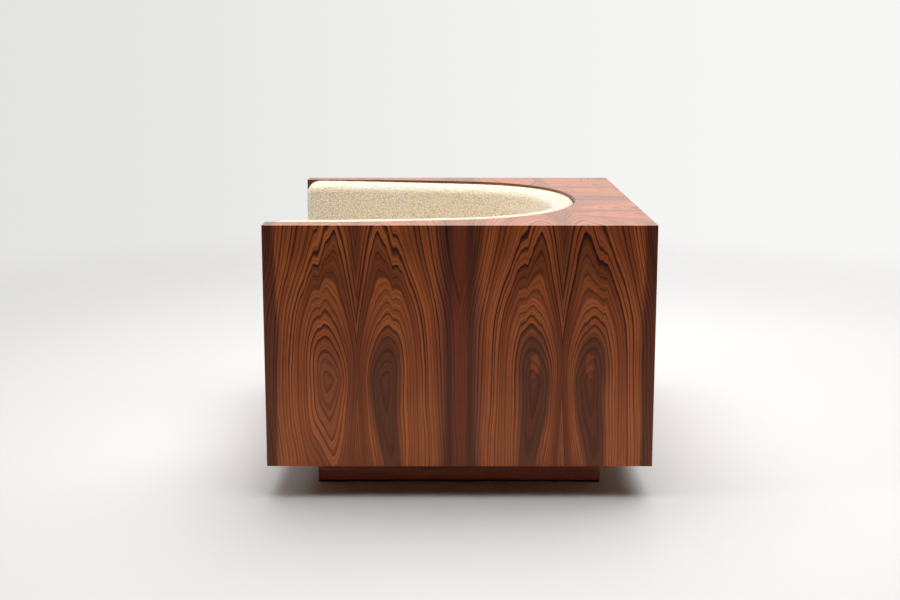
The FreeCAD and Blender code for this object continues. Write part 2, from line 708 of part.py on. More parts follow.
nodes += [seat_frame(), webbing_crosswise(), webbing_lengthwise(), webbing_staples(), deck_pad()]
nodes += [lining_cover(), lining_foam()] + seat_cushion()

for side, sign in SIDES:
    nodes.append(plinth_board_along(side, sign))
for end, sign in ENDS:
    nodes.append(plinth_board_across(end, sign))
nodes += [plinth_stretcher(), plinth_blocks(), foot_pads()]

# ---------------------------------------------------------------- check and write

doc.recompute()
for item in doc.Objects:
    if "Invalid" in item.State or "Error" in item.State:
        raise RuntimeError(f"{item.Label} did not build: {item.State}")
os.makedirs("parts", exist_ok=True)
for node in nodes:
    if node.Shape.isNull() or not node.Shape.isValid():
        raise RuntimeError(f"{node.Label} has no valid shape")
    node.Shape.exportStep(f"parts/{node.Label}.step")
    print(f"{node.Label}: {len(node.Shape.Solids)} solids, {node.Shape.Volume / 1000:.1f} cm3")
print(f"{len(nodes)} nodes")
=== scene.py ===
"""Looks of the cube lounge chair: book-matched rosewood case, boucle lining and cushion, dark plinth.

Metres, in the frame of the CAD model: origin on the floor, +Z up, the open front faces -Y.
"""
import math

import bmesh
import bpy
import numpy as np
from mathutils import Euler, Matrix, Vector


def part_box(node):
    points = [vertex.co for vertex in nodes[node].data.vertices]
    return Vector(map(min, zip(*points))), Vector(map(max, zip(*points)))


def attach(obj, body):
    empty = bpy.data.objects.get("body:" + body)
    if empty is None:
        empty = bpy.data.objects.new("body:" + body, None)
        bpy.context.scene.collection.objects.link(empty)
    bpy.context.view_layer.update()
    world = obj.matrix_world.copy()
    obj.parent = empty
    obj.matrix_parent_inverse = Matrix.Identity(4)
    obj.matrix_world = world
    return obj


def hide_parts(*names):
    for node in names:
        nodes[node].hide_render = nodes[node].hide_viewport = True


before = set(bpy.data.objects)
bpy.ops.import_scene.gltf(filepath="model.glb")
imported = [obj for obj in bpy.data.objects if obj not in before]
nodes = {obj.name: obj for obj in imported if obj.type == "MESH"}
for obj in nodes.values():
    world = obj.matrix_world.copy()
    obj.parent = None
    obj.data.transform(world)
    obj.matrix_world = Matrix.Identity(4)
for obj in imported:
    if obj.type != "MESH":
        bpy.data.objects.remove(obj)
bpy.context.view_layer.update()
scene = bpy.context.scene

# ---------------------------------------------------------------- places, from the frame

CASE_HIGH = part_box("side_panel_left")[1]
HALF_WIDTH = CASE_HIGH.x
HALF_DEPTH = CASE_HIGH.y
CASE_TOP = CASE_HIGH.z
LINING_LOW, LINING_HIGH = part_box("lining_cover")
CUSHION_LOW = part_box("cushion_bottom")[0]
CUSHION_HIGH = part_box("cushion_top")[1]
DECK_LOW, DECK_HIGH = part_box("deck_pad")

# Horseshoe curve of the opening, the same arcs as in the CAD model.
BACK_RADIUS = 0.421
CORNER_RADIUS = 0.285
SIDE_RADIUS = 1.775
BACK_ANGLE = math.radians(21.2)
CORNER_ANGLE = math.radians(78.3)
LINING_THICK = 0.050


def outward(angle):
    """Unit vector out of the opening, at an angle from straight back."""
    return np.array([math.sin(angle), math.cos(angle)])


OPENING_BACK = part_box("rim_band")[1].y - 0.003
BACK_CENTRE = np.array([0.0, OPENING_BACK - BACK_RADIUS])
CORNER_CENTRE = BACK_CENTRE + (BACK_RADIUS - CORNER_RADIUS) * outward(BACK_ANGLE)
SIDE_CENTRE = CORNER_CENTRE + (CORNER_RADIUS - SIDE_RADIUS) * outward(CORNER_ANGLE)

# Each arc's centre, radius, and the angles where it starts and ends.
ARCS = [
    (BACK_CENTRE, BACK_RADIUS, 0.0, BACK_ANGLE),
    (CORNER_CENTRE, CORNER_RADIUS, BACK_ANGLE, CORNER_ANGLE),
    (SIDE_CENTRE, SIDE_RADIUS, CORNER_ANGLE, math.pi),
]


def horseshoe(share, inset, front):
    """Point of the curve moved inwards by inset. share runs from -1 to 1, right arm's front to left's."""
    front_angle = math.acos((front - SIDE_CENTRE[1]) / (SIDE_RADIUS - inset))
    runs = [(centre, radius, start, min(end, front_angle)) for centre, radius, start, end in ARCS]
    lengths = [(radius - inset) * (end - start) for _, radius, start, end in runs]
    left = abs(share) * sum(lengths)
    for (centre, radius, start, end), length in zip(runs, lengths):
        if left <= length or end == front_angle:
            angle = start + left / (radius - inset)
            point = centre + (radius - inset) * outward(angle)
            return np.array([math.copysign(point[0], share) if share else 0.0, point[1]])
        left -= length


# ---------------------------------------------------------------- node trees

class Tree:
    """Adds nodes to a material or group, each method returning the new node's output socket."""

    def __init__(self, tree):
        self.tree = tree

    def add(self, kind, **settings):
        node = self.tree.nodes.new(kind)
        for name, setting in settings.items():
            setattr(node, name, setting)
        return node

    def put(self, socket, source):
        """Sets a socket to a number or colour, or links it to another socket."""
        if isinstance(source, bpy.types.NodeSocket):
            self.tree.links.new(source, socket)
        else:
            socket.default_value = source

    def math(self, operation, *values):
        node = self.add("ShaderNodeMath", operation=operation)
        for socket, source in zip(node.inputs, values):
            self.put(socket, source)
        return node.outputs[0]

    def plus(self, a, b):
        return self.math("ADD", a, b)

    def minus(self, a, b):
        return self.math("SUBTRACT", a, b)

    def times(self, a, b):
        return self.math("MULTIPLY", a, b)

    def step(self, source, start, end):
        """Smooth step: 0 below start, 1 above end, or the reverse if end is below start."""
        low, high = (start, end) if start < end else (end, start)
        node = self.add("ShaderNodeMapRange", interpolation_type="SMOOTHSTEP")
        self.put(node.inputs["Value"], source)
        self.put(node.inputs["From Min"], low)
        self.put(node.inputs["From Max"], high)
        self.put(node.inputs["To Min"], 0.0 if start < end else 1.0)
        self.put(node.inputs["To Max"], 1.0 if start < end else 0.0)
        return node.outputs["Result"]

    def bump_at(self, source, centre, half):
        """1 where source is at centre, falling smoothly to 0 at half away."""
        return self.step(self.math("ABSOLUTE", self.minus(source, centre)), half, half * 0.25)

    def blend(self, share, low, high):
        """Number between low and high."""
        node = self.add("ShaderNodeMix", data_type="FLOAT")
        self.put(node.inputs["Factor"], share)
        self.put(node.inputs["A"], low)
        self.put(node.inputs["B"], high)
        return node.outputs["Result"]

    def colour(self, share, low, high, mode="MIX"):
        node = self.add("ShaderNodeMix", data_type="RGBA", blend_type=mode, clamp_factor=True)
        self.put(node.inputs["Factor"], share)
        for socket, source in zip([s for s in node.inputs if s.type == "RGBA"], (low, high)):
            self.put(socket, source if isinstance(source, bpy.types.NodeSocket) else (*source, 1.0))
        return [s for s in node.outputs if s.type == "RGBA"][0]

    def vector(self, x, y, z):
        node = self.add("ShaderNodeCombineXYZ")
        for socket, source in zip(node.inputs, (x, y, z)):
            self.put(socket, source)
        return node.outputs[0]

    def noise(self, vector, scale=1.0, detail=2.0, rough=0.5, twist=0.0):
        node = self.add("ShaderNodeTexNoise", noise_dimensions="3D")
        self.put(node.inputs["Vector"], vector)
        self.put(node.inputs["Scale"], scale)
        self.put(node.inputs["Detail"], detail)
        self.put(node.inputs["Roughness"], rough)
        self.put(node.inputs["Distortion"], twist)
        return node.outputs["Fac"]

    def noise_line(self, position, scale, detail=1.0):
        """Noise along one number."""
        node = self.add("ShaderNodeTexNoise", noise_dimensions="1D")
        self.put(node.inputs["W"], position)
        self.put(node.inputs["Scale"], scale)
        self.put(node.inputs["Detail"], detail)
        return node.outputs["Fac"]

    def cells(self, vector, scale, feature="F1"):
        node = self.add("ShaderNodeTexVoronoi", feature=feature)
        self.put(node.inputs["Vector"], vector)
        self.put(node.inputs["Scale"], scale)
        return node.outputs["Distance"]

    def place(self):
        """The surface point in the frame, as x, y, z sockets and the whole vector."""
        coordinates = self.add("ShaderNodeTexCoord").outputs["Object"]
        parts = self.add("ShaderNodeSeparateXYZ")
        self.put(parts.inputs[0], coordinates)
        return (*parts.outputs, coordinates)

    def relief(self, height, distance, strength=1.0):
        node = self.add("ShaderNodeBump")
        self.put(node.inputs["Height"], height)
        node.inputs["Distance"].default_value = distance
        node.inputs["Strength"].default_value = strength
        return node.outputs["Normal"]


def material(name, build, **fixed):
    """A Principled material. build(tree) returns the sockets that vary, fixed holds those that don't."""
    result = bpy.data.materials.new(name)
    result.use_nodes = True
    tree = Tree(result.node_tree)
    shader = result.node_tree.nodes["Principled BSDF"]
    for socket, setting in fixed.items():
        shader.inputs[socket.replace("_", " ")].default_value = setting
    for socket, source in build(tree).items():
        tree.put(shader.inputs[socket.replace("_", " ")], source)
    return result


# ---------------------------------------------------------------- rosewood veneer

LEAF = HALF_DEPTH * 0.527          # width of a veneer leaf, so how far its axis is from the panel's middle
EYE_ACROSS = 0.061                 # middle of the dark eye of a leaf, from the leaf's axis
EYE_UP = 0.249                     # and above the floor
PINCH_UP = 0.286                   # height where the lines crowd together at the leaf's axis
RING = 0.0064                      # distance between growth lines
EYE_HALF = 0.0255                  # half the width of a dark eye
EYE_HALF_FIRST = 0.0150            # and of the slim eye of the first leaf

# How the lines run, each named by how far out from the eye it lies where it runs straight, in metres.
ARCH_STEEP = 0.29                  # lines crossed for each metre climbed above the eye's middle
ARCH_SHALLOW = 0.165               # and further up, where the arches draw out
ARCH_HEAD = 0.022                  # where the second takes over
ARCH_SQUARE = 2.4                  # 2 would make the arches oval, more makes them squarer
TAIL_OPEN = 0.075                  # lines crossed for each metre below the eye
TAIL_CLOSING = 0.20                # and on a leaf whose lines close
AXIS_LINE = 0.064                  # line at the leaf's axis where they crowd together
V_ABOVE = 0.135                    # lines crossed for each metre up the axis from there
V_BELOW = 0.090                    # and down
LEAN_ABOVE = 0.018                 # how far the arches lean towards the axis
LEAN_BELOW = -0.006                # and the lines under the eye
LEAN_CLOSING = 0.012               # and on a leaf whose lines close

WOOD_LIGHT = (0.76, 0.190, 0.042)
WOOD_MID = (0.46, 0.094, 0.020)
WOOD_RED = (0.27, 0.050, 0.016)
WOOD_OLIVE = (0.18, 0.050, 0.012)
WOOD_PINK = (0.70, 0.185, 0.044)
PAINTED_REFLECTION_COLOUR = (0.360, 0.191, 0.117)
WOOD_LINE = (0.034, 0.007, 0.004)
WOOD_DARK = (0.150, 0.042, 0.023)
WOOD_EYE = (0.165, 0.050, 0.023)
CAPS_PAINTED_REFLECTION = 0.35                    # how much pale colour is painted over the caps: a painted reflection of the backdrop in their gloss


def veneer_figure(t, plain, up, closing):
    """Which growth line passes through a point, as its distance out from the eye where it runs straight.

    plain is the distance from the leaf's axis. Outside the eye the lines are straight and upright, and bend
    over it in arches that lean towards the axis. Inside, they crowd at the axis a little above the eye's
    middle, and spread again in a V above and a narrow inverted V below. closing is 1 on a leaf whose lines
    close under the eye.
    """
    rise = t.minus(up, EYE_UP)
    above = t.math("GREATER_THAN", rise, 0.0)
    climb = t.math("ABSOLUTE", rise)
    low_arch = t.times(climb, ARCH_STEEP)
    high_arch = t.plus(ARCH_HEAD, t.times(climb, ARCH_SHALLOW))
    arch = t.math("SMOOTH_MIN", low_arch, high_arch, 0.010)
    centre = t.blend(above, t.times(climb, t.blend(closing, TAIL_OPEN, TAIL_CLOSING)), arch)
    lean_above = t.times(t.step(rise, 0.10, 0.30), LEAN_ABOVE)
    lean_below = t.times(t.step(rise, -0.04, -0.18), t.blend(closing, LEAN_BELOW, LEAN_CLOSING))
    ridge = t.minus(EYE_ACROSS, t.plus(lean_above, lean_below))
    off = t.minus(plain, ridge)

    away = t.math("MAXIMUM", off, 0.0)
    squares = t.plus(t.math("POWER", away, ARCH_SQUARE), t.math("POWER", centre, ARCH_SQUARE))
    oval = t.math("POWER", squares, 1 / ARCH_SQUARE)
    point = t.times(t.times(t.step(rise, 0.12, 0.26), 0.13), t.math("MINIMUM", away, 0.035))
    bowed = t.plus(centre, t.times(away, t.blend(closing, 0.15, 0.42)))
    below = t.math("SMOOTH_MAX", away, bowed, 0.008)
    outside = t.blend(above, below, t.plus(oval, point))

    from_pinch = t.minus(up, PINCH_UP)
    spread = t.math("MAXIMUM", t.times(from_pinch, V_ABOVE), t.times(from_pinch, -V_BELOW))
    at_axis = t.plus(AXIS_LINE, spread)
    share = t.math("DIVIDE", t.math("MAXIMUM", t.times(off, -1.0), 0.0), ridge)
    inside = t.plus(centre, t.times(t.minus(at_axis, centre), t.math("POWER", share, 1.75)))
    return t.blend(t.math("GREATER_THAN", off, 0.0), inside, outside)


def rosewood_group():
    """Colour and surface of book-matched veneer, from the distance across a panel and the height up it.

    The leaves meet in mirrored pairs, four to a panel, with a dark eye in each.
    """
    group = bpy.data.node_groups.new("rosewood", "ShaderNodeTree")
    for name in ("Across", "Up", "Seed"):
        group.interface.new_socket(name, in_out="INPUT", socket_type="NodeSocketFloat")
    group.interface.new_socket("Color", in_out="OUTPUT", socket_type="NodeSocketColor")
    for name in ("Roughness", "Height"):
        group.interface.new_socket(name, in_out="OUTPUT", socket_type="NodeSocketFloat")
    t = Tree(group)
    source = t.add("NodeGroupInput").outputs
    across, up, seed = source["Across"], source["Up"], source["Seed"]

    # Which leaf, and how far from its axis.
    side = t.math("SIGN", across)
    offset = t.minus(t.math("ABSOLUTE", across), LEAF)
    inner = t.math("LESS_THAN", offset, 0.0)
    leaf = t.plus(1.5, t.times(side, t.minus(1.5, inner)))
    plain = t.math("ABSOLUTE", offset)
    drift = t.plus(seed, t.times(leaf, 0.13))
    first = t.math("LESS_THAN", leaf, 0.5)
    last_two = t.math("GREATER_THAN", leaf, 1.5)

    # Slow waves in the grain, the same on mirrored leaves but for a little drift. They die out at the axis.
    slow = t.noise(t.vector(t.times(plain, 14.0), t.times(up, 4.4), drift), detail=1.0)
    quick = t.noise(t.vector(t.times(plain, 60.0), t.times(up, 9.0), t.plus(drift, 7.0)), detail=2.0)
    free = t.times(t.step(plain, 0.0, 0.035), t.step(plain, 0.195, 0.150))
    sway = t.plus(t.times(t.minus(slow, 0.5), 0.017), t.times(t.minus(quick, 0.5), 0.0045))
    bent = t.plus(plain, t.times(sway, free))
    ripple = t.noise(t.vector(t.times(plain, 44.0), t.times(up, 3.0), t.plus(drift, 5.0)), detail=2.0)
    hop = t.times(t.minus(ripple, 0.5), 0.066)
    jumpy = t.times(t.step(up, 0.30, 0.42), t.step(t.math("ABSOLUTE", t.minus(plain, 0.062)), 0.060, 0.015))
    figure = veneer_figure(t, bent, t.plus(up, t.times(hop, jumpy)), first)

    # Growth lines: sharp on one side, fading on the other, uneven in distance and strength.
    uneven = t.times(t.minus(t.noise_line(t.plus(figure, t.times(drift, 0.02)), 90.0, 1.0), 0.5), 1.1)
    turns = t.plus(t.math("DIVIDE", figure, RING), uneven)
    phase = t.math("FRACT", turns)
    ring = t.math("FLOOR", turns)
    weight = t.noise_line(t.plus(t.times(ring, 3.7), 0.5), 1.0)
    line = t.times(t.step(phase, 0.46, 0.90), t.step(phase, 1.0, 0.94))
    line_strength = t.times(line, t.plus(0.50, t.times(t.step(weight, 0.30, 0.60), 0.50)))
    fine_phase = t.math("FRACT", t.plus(t.times(turns, 2.7), 0.3))
    fine_line = t.times(t.step(fine_phase, 0.35, 0.85), t.step(fine_phase, 1.0, 0.93))

    # Broad colour: streaks along the lines, browner rings, lighter and pinker towards the foot.
    streak = t.noise(t.vector(t.times(figure, 75.0), t.times(up, 1.6), t.plus(drift, 11.0)), detail=3.0)
    ring_tone = t.noise_line(t.plus(t.times(ring, 5.3), 9.5), 1.0)
    cloud = t.noise(t.vector(t.times(plain, 9.0), t.times(up, 5.0), t.plus(drift, 17.0)), detail=2.0)
    broad = t.plus(t.times(streak, 0.7), t.times(cloud, 0.3))
    base = t.colour(t.step(broad, 0.38, 0.62), WOOD_MID, WOOD_LIGHT)
    foot = t.times(t.step(up, 0.36, 0.10), t.step(plain, 0.08, 0.13))
    base = t.colour(t.times(foot, 0.62), base, WOOD_PINK)
    arches = t.times(t.step(figure, 0.030, 0.042), t.step(plain, 0.125, 0.085))
    base = t.colour(t.times(t.times(t.step(ring_tone, 0.50, 0.66), arches), 0.75), base, WOOD_OLIVE)
    wedge = t.times(t.step(plain, 0.016, 0.003), t.step(up, 0.38, 0.52))
    base = t.colour(t.times(t.step(plain, 0.036, 0.006), 0.40), base, WOOD_RED)
    base = t.colour(t.times(wedge, 0.45), base, WOOD_DARK)
    edge_strip = t.step(bent, 0.176, 0.186)
    base = t.colour(t.times(edge_strip, 0.85), base, WOOD_RED)

    # The eye, faint and slim on the first leaf, with a reddish knot on the last two.
    eye_size = t.blend(first, EYE_HALF, EYE_HALF_FIRST)
    ragged = t.plus(figure, t.times(t.minus(cloud, 0.5), 0.022))
    eye = t.step(t.minus(ragged, eye_size), 0.010, -0.011)
    tail = t.times(t.bump_at(plain, EYE_ACROSS - 0.003, 0.036), t.step(up, 0.28, 0.16))
    eye_share = t.times(eye, t.blend(first, 0.88, 0.50))
    tail_share = t.times(tail, t.blend(first, 0.46, 0.15))
    base = t.colour(t.math("MAXIMUM", eye_share, tail_share), base, WOOD_EYE)
    heart = t.step(figure, 0.0130, 0.0075)
    base = t.colour(t.times(t.times(heart, last_two), 0.40), base, WOOD_RED)
    knot_up = t.math("DIVIDE", t.minus(up, EYE_UP + 0.030), 3.0)
    knot_across = t.minus(plain, EYE_ACROSS - 0.006)
    knot_far = t.math("SQRT", t.plus(t.times(knot_across, knot_across), t.times(knot_up, knot_up)))
    knot = t.step(t.plus(knot_far, t.times(t.minus(quick, 0.5), 0.010)), 0.0105, 0.0060)
    base = t.colour(t.times(t.times(knot, last_two), 0.92), base, WOOD_MID)

    # The dark bands by the leaf's outer edge.
    band_at = t.blend(inner, LEAF * 0.845, LEAF * 0.880)
    band = t.plus(t.bump_at(bent, band_at, 0.017), t.times(t.bump_at(bent, LEAF * 0.80, 0.008), 0.40))
    base = t.colour(t.times(t.math("MINIMUM", band, 1.0), 0.80), base, WOOD_DARK)

    calm = t.times(t.minus(1.0, t.times(eye, 0.50)), t.blend(t.step(up, 0.12, 0.34), 0.62, 1.0))
    calm = t.times(calm, t.minus(1.0, t.times(edge_strip, 0.55)))
    lined = t.colour(t.times(t.times(line_strength, calm), 0.96), base, WOOD_LINE)
    lined = t.colour(t.times(t.times(fine_line, calm), 0.38), lined, WOOD_LINE)

    # Pores and hair-fine streaks along the grain, and painted shade that darkens the panel towards its top.
    hair = t.noise(t.vector(t.times(bent, 900.0), t.times(up, 11.0), t.plus(drift, 21.0)), detail=2.0)
    pore = t.noise(t.vector(t.times(plain, 1500.0), t.times(up, 60.0), t.plus(drift, 31.0)), detail=1.0)
    pores = t.step(pore, 0.62, 0.72)
    tone = t.minus(t.plus(0.80, t.times(hair, 0.40)), t.times(pores, 0.28))
    # Painted shade: darker towards the top, lighter at the foot where the floor's bounce light falls.
    tone = t.times(tone, t.blend(t.step(up, 0.30, 0.56), 1.03, 0.86))
    final = t.colour(1.0, lined, t.vector(tone, tone, tone), mode="MULTIPLY")

    sink = t.add("NodeGroupOutput").inputs
    t.put(sink["Color"], final)
    t.put(sink["Roughness"], t.plus(0.32, t.plus(t.times(pores, 0.16), t.times(line_strength, 0.05))))
    t.put(sink["Height"], t.minus(t.times(hair, 0.15), pores))
    return group


ROSEWOOD = rosewood_group()


def veneer(name, run, seed, reflection_share=0.0):
    """Veneer for one panel. run(tree, x, y, z) gives the distance across it and the height up it.

    Panels with the same seed have the same waves in their grain, as a cap and the panel below it have.
    """
    def build(t):
        x, y, z, _ = t.place()
        across, up = run(t, x, y, z)
        figure = t.add("ShaderNodeGroup", node_tree=ROSEWOOD)
        t.put(figure.inputs["Across"], across)
        t.put(figure.inputs["Up"], up)
        t.put(figure.inputs["Seed"], seed)
        out = figure.outputs
        return {
            # The caps are mixed with pale colour: a painted reflection of the backdrop in their gloss.
            "Base_Color": t.colour(reflection_share, out["Color"], PAINTED_REFLECTION_COLOUR),
            "Roughness": out["Roughness"],
            "Normal": t.relief(out["Height"], 0.00006, 0.5),
        }
    return material(name, build, IOR=1.5, Coat_Weight=0.2, Coat_Roughness=0.18)


def over_side(t, x, y, z):
    """A cap's veneer carries on from the side panel's, over the top edge."""
    return y, t.plus(CASE_TOP, t.minus(HALF_WIDTH, t.math("ABSOLUTE", x)))


def over_back(t, x, y, z):
    """The same over the back panel's top edge."""
    return x, t.plus(CASE_TOP, t.minus(HALF_DEPTH, y))


veneers = {
    "side_panel_left": veneer("rosewood_left", lambda t, x, y, z: (y, z), 0.0),
    "side_panel_right": veneer("rosewood_right", lambda t, x, y, z: (y, z), 4.0),
    "arm_cap_left": veneer("rosewood_arm_left", over_side, 0.0, CAPS_PAINTED_REFLECTION),
    "arm_cap_right": veneer("rosewood_arm_right", over_side, 4.0, CAPS_PAINTED_REFLECTION),
    "back_panel": veneer("rosewood_back", lambda t, x, y, z: (x, z), 9.0),
    "back_cap": veneer("rosewood_back_cap", over_back, 9.0, CAPS_PAINTED_REFLECTION),
    "front_rail": veneer("rosewood_front", lambda t, x, y, z: (x, z), 14.0),
}
veneers["arm_front_left"] = veneers["arm_front_right"] = veneers["front_rail"]


def dress(node, finish):
    """Gives a CAD node a material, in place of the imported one."""
    slots = nodes[node].data.materials
    slots.clear()
    slots.append(finish)


for node, finish in veneers.items():
    dress(node, finish)


# ---------------------------------------------------------------- plain woods and hardware

def grain(name, along, light, dark, rough, lines=0.5):
    """Straight-grained wood. along is the axis of the grain, 0 for x, 1 for y, 2 for z."""
    def build(t):
        parts = t.place()[:3]
        stretched = [t.times(part, 9.0 if i == along else 260.0) for i, part in enumerate(parts)]
        spot = t.vector(*stretched)
        streak = t.noise(spot, detail=4.0, rough=0.62)
        broad = t.noise(t.vector(*[t.times(part, 0.16) for part in stretched]), detail=2.0, twist=0.6)
        share = t.plus(t.times(streak, lines), t.times(broad, 1.0 - lines))
        return {
            "Base_Color": t.colour(t.step(share, 0.33, 0.67), dark, light),
            "Roughness": t.plus(rough, t.times(t.minus(streak, 0.5), 0.18)),
            "Normal": t.relief(streak, 0.00012, 0.6),
        }
    return material(name, build, IOR=1.48)


PLY_PAIR = 0.003     # thickness of two layers of the ply


def plywood(name, normal):
    """Ply whose layers are stacked along an axis: birch faces, striped edges."""
    def build(t):
        parts = t.place()
        layer = t.math("FRACT", t.math("DIVIDE", parts[normal], PLY_PAIR))
        turn = t.step(layer, 0.45, 0.55)
        spot = t.vector(t.times(parts[0], 160.0), t.times(parts[1], 24.0), t.times(parts[2], 160.0))
        fine = t.noise(spot, detail=4.0)
        tone = t.colour(t.step(fine, 0.3, 0.7), (0.42, 0.27, 0.13), (0.60, 0.42, 0.24))
        return {
            "Base_Color": t.colour(t.times(turn, 0.28), tone, (0.22, 0.12, 0.06)),
            "Roughness": t.plus(0.52, t.times(fine, 0.2)),
            "Normal": t.relief(fine, 0.0002, 0.5),
        }
    return material(name, build)


# Light and dark colour of each wood.
EDGE_WOOD = ((0.23, 0.070, 0.028), (0.085, 0.024, 0.012))
STAINED = ((0.62, 0.150, 0.070), (0.30, 0.075, 0.038))
BEECH = ((0.60, 0.38, 0.20), (0.44, 0.25, 0.12))

LIPPING = grain("lipping", 1, *EDGE_WOOD, rough=0.34)
LIPPING_UP = grain("lipping_upright", 2, *EDGE_WOOD, rough=0.34)
PLINTH = grain("plinth_stain_x", 0, *STAINED, rough=0.46)
PLINTH_SIDE = grain("plinth_stain_y", 1, *STAINED, rough=0.46)
BEECH_UP = grain("beech_upright", 2, *BEECH, rough=0.55, lines=0.35)
BEECH_LONG = grain("beech_along", 1, *BEECH, rough=0.55, lines=0.35)
PLY_FLAT = plywood("ply_flat", 2)
PLY_BENT = plywood("ply_upright", 0)


def foam_look(t):
    spot = t.place()[3]
    pit = t.cells(spot, 520.0)
    patch = t.noise(spot, 9.0, 3.0)
    tone = t.colour(patch, (0.70, 0.60, 0.36), (0.80, 0.72, 0.50))
    return {
        "Base_Color": t.colour(t.step(pit, 0.25, 0.05), tone, (0.40, 0.32, 0.18)),
        "Normal": t.relief(pit, 0.0006, 0.8),
    }


STRAP_THREADS = 420.0    # threads in a metre of webbing
STRAP_STRIPE = 0.060     # distance between its coloured stripes


def webbing_look(t):
    x, y, z, _ = t.place()
    weft = t.math("FRACT", t.times(x, STRAP_THREADS))
    warp = t.math("FRACT", t.times(y, STRAP_THREADS))
    over = t.times(t.step(weft, 0.1, 0.5), t.step(warp, 0.9, 0.5))
    stripe = t.bump_at(t.math("FRACT", t.math("DIVIDE", t.plus(x, y), STRAP_STRIPE)), 0.5, 0.12)
    tone = t.colour(over, (0.050, 0.034, 0.022), (0.17, 0.125, 0.085))
    return {
        "Base_Color": t.colour(t.times(stripe, 0.6), tone, (0.34, 0.10, 0.05)),
        "Normal": t.relief(over, 0.0005),
    }


def steel_look(t):
    spot = t.place()[3]
    haze = t.noise(spot, 260.0, 4.0)
    return {
        "Base_Color": t.colour(haze, (0.42, 0.42, 0.43), (0.62, 0.62, 0.61)),
        "Roughness": t.plus(0.22, t.times(haze, 0.25)),
        "Normal": t.relief(haze, 0.00005, 0.4),
    }


def rubber_look(t):
    spot = t.place()[3]
    grit = t.noise(spot, 900.0, 3.0)
    dust = t.noise(spot, 40.0, 3.0)
    return {
        "Base_Color": t.colour(t.step(dust, 0.4, 0.8), (0.012, 0.009, 0.008), (0.045, 0.036, 0.031)),
        "Roughness": t.plus(0.62, t.times(grit, 0.25)),
        "Normal": t.relief(grit, 0.00015, 0.6),
    }


FOAM = material("foam", foam_look, Roughness=0.95)
WEBBING = material("webbing", webbing_look, Roughness=0.85)
STEEL = material("zinc_steel", steel_look, Metallic=1.0)
RUBBER = material("pad_rubber", rubber_look)

plain_finishes = {
    LIPPING: ["rim_band"],
    LIPPING_UP: ["arm_lipping_left", "arm_lipping_right"],
    PLINTH: ["plinth_front", "plinth_back"],
    PLINTH_SIDE: ["plinth_left", "plinth_right", "plinth_stretcher"],
    BEECH_UP: ["front_stile_left", "front_stile_right", "back_post_left", "back_post_right",
               "plinth_blocks", "glue_blocks"],
    BEECH_LONG: ["seat_bearer_left", "seat_bearer_right", "seat_bearer_back", "panel_dowels"],
    PLY_FLAT: ["base_board", "former_lower", "former_upper", "seat_frame"],
    PLY_BENT: ["inner_shell", "side_rib_left", "side_rib_right", "back_rib_left", "back_rib_right"],
    FOAM: ["lining_foam", "cushion_foam"],
    WEBBING: ["webbing_crosswise", "webbing_lengthwise"],
    STEEL: ["webbing_staples", "plinth_screws"],
    RUBBER: ["foot_pads"],
}
for finish, names in plain_finishes.items():
    for node in names:
        dress(node, finish)


# ---------------------------------------------------------------- soft pieces

YARN_LOOPS = 175.0       # loops of yarn in a metre
YARN_CURLS = 520.0       # and fine curls on them


def boucle_look(t, warm, pale, gap_shade):
    """Looped yarn: round loops of uneven size, painted shade where they meet and in the hollows of loops
    and curls, and slow changes of tone.
    """
    spot = t.place()[3]
    wander = t.add("ShaderNodeTexNoise")
    t.put(wander.inputs["Vector"], spot)
    wander.inputs["Scale"].default_value = 120.0
    moved = t.add("ShaderNodeVectorMath", operation="MULTIPLY_ADD")
    t.put(moved.inputs[0], wander.outputs["Color"])
    moved.inputs[1].default_value = (0.006, 0.006, 0.006)
    t.put(moved.inputs[2], spot)
    swirl = t.noise(spot, 95.0, 3.0, 0.6, 1.2)
    loops = t.cells(moved.outputs[0], YARN_LOOPS)
    rim = t.cells(moved.outputs[0], YARN_LOOPS, "DISTANCE_TO_EDGE")
    curls = t.cells(moved.outputs[0], YARN_CURLS)
    patch = t.noise(spot, 14.0, 3.0)
    tone = t.colour(patch, warm, pale)
    # The gap colour is painted shade, darkening the loops' edges, the seams between them and the curls.
    tone = t.colour(t.times(t.step(loops, 0.42, 0.70), 0.34), tone, gap_shade)
    tone = t.colour(t.times(t.step(rim, 0.13, 0.03), 0.72), tone, gap_shade)
    tone = t.colour(t.times(t.step(curls, 0.44, 0.66), 0.10), tone, gap_shade)
    tone = t.colour(t.times(t.step(swirl, 0.56, 0.75), 0.08), tone, gap_shade)
    hollow = t.plus(t.times(loops, 0.9), t.times(curls, 0.25))
    height = t.minus(t.times(t.step(rim, 0.0, 0.45), 0.8), hollow)
    return {"Base_Color": tone, "Normal": t.relief(height, 0.0014, 0.8)}


def boucle(name, warm, pale, gap_shade, sheen):
    def build(t):
        return boucle_look(t, warm, pale, gap_shade)
    return material(name, build, Roughness=0.92, Sheen_Weight=sheen, Sheen_Roughness=0.35)


# The same cream cloth twice. The seat's copy has less sheen and is a little darker, painted shade that
# keeps its top under the overhead light from washing out.
BOUCLE = boucle("boucle", (0.98, 0.92, 0.78), (0.99, 0.96, 0.86), (0.74, 0.53, 0.27), 1.0)
BOUCLE_SEAT_SHADED = boucle("boucle_seat_shaded", (0.74, 0.68, 0.56), (0.78, 0.73, 0.63), (0.46, 0.33, 0.18), 0.20)


def mesh_object(name, points, faces, finish):
    mesh = bpy.data.meshes.new(name)
    mesh.from_pydata([tuple(point) for point in points], [], faces)
    mesh.update()
    mesh.materials.append(finish)
    piece = bpy.data.objects.new(name, mesh)
    scene.collection.objects.link(piece)
    return piece


def spaced(start, end, pitch):
    """Evenly spaced numbers from start to end, about a pitch apart."""
    return list(np.linspace(start, end, max(2, round(abs(end - start) / pitch) + 1)))


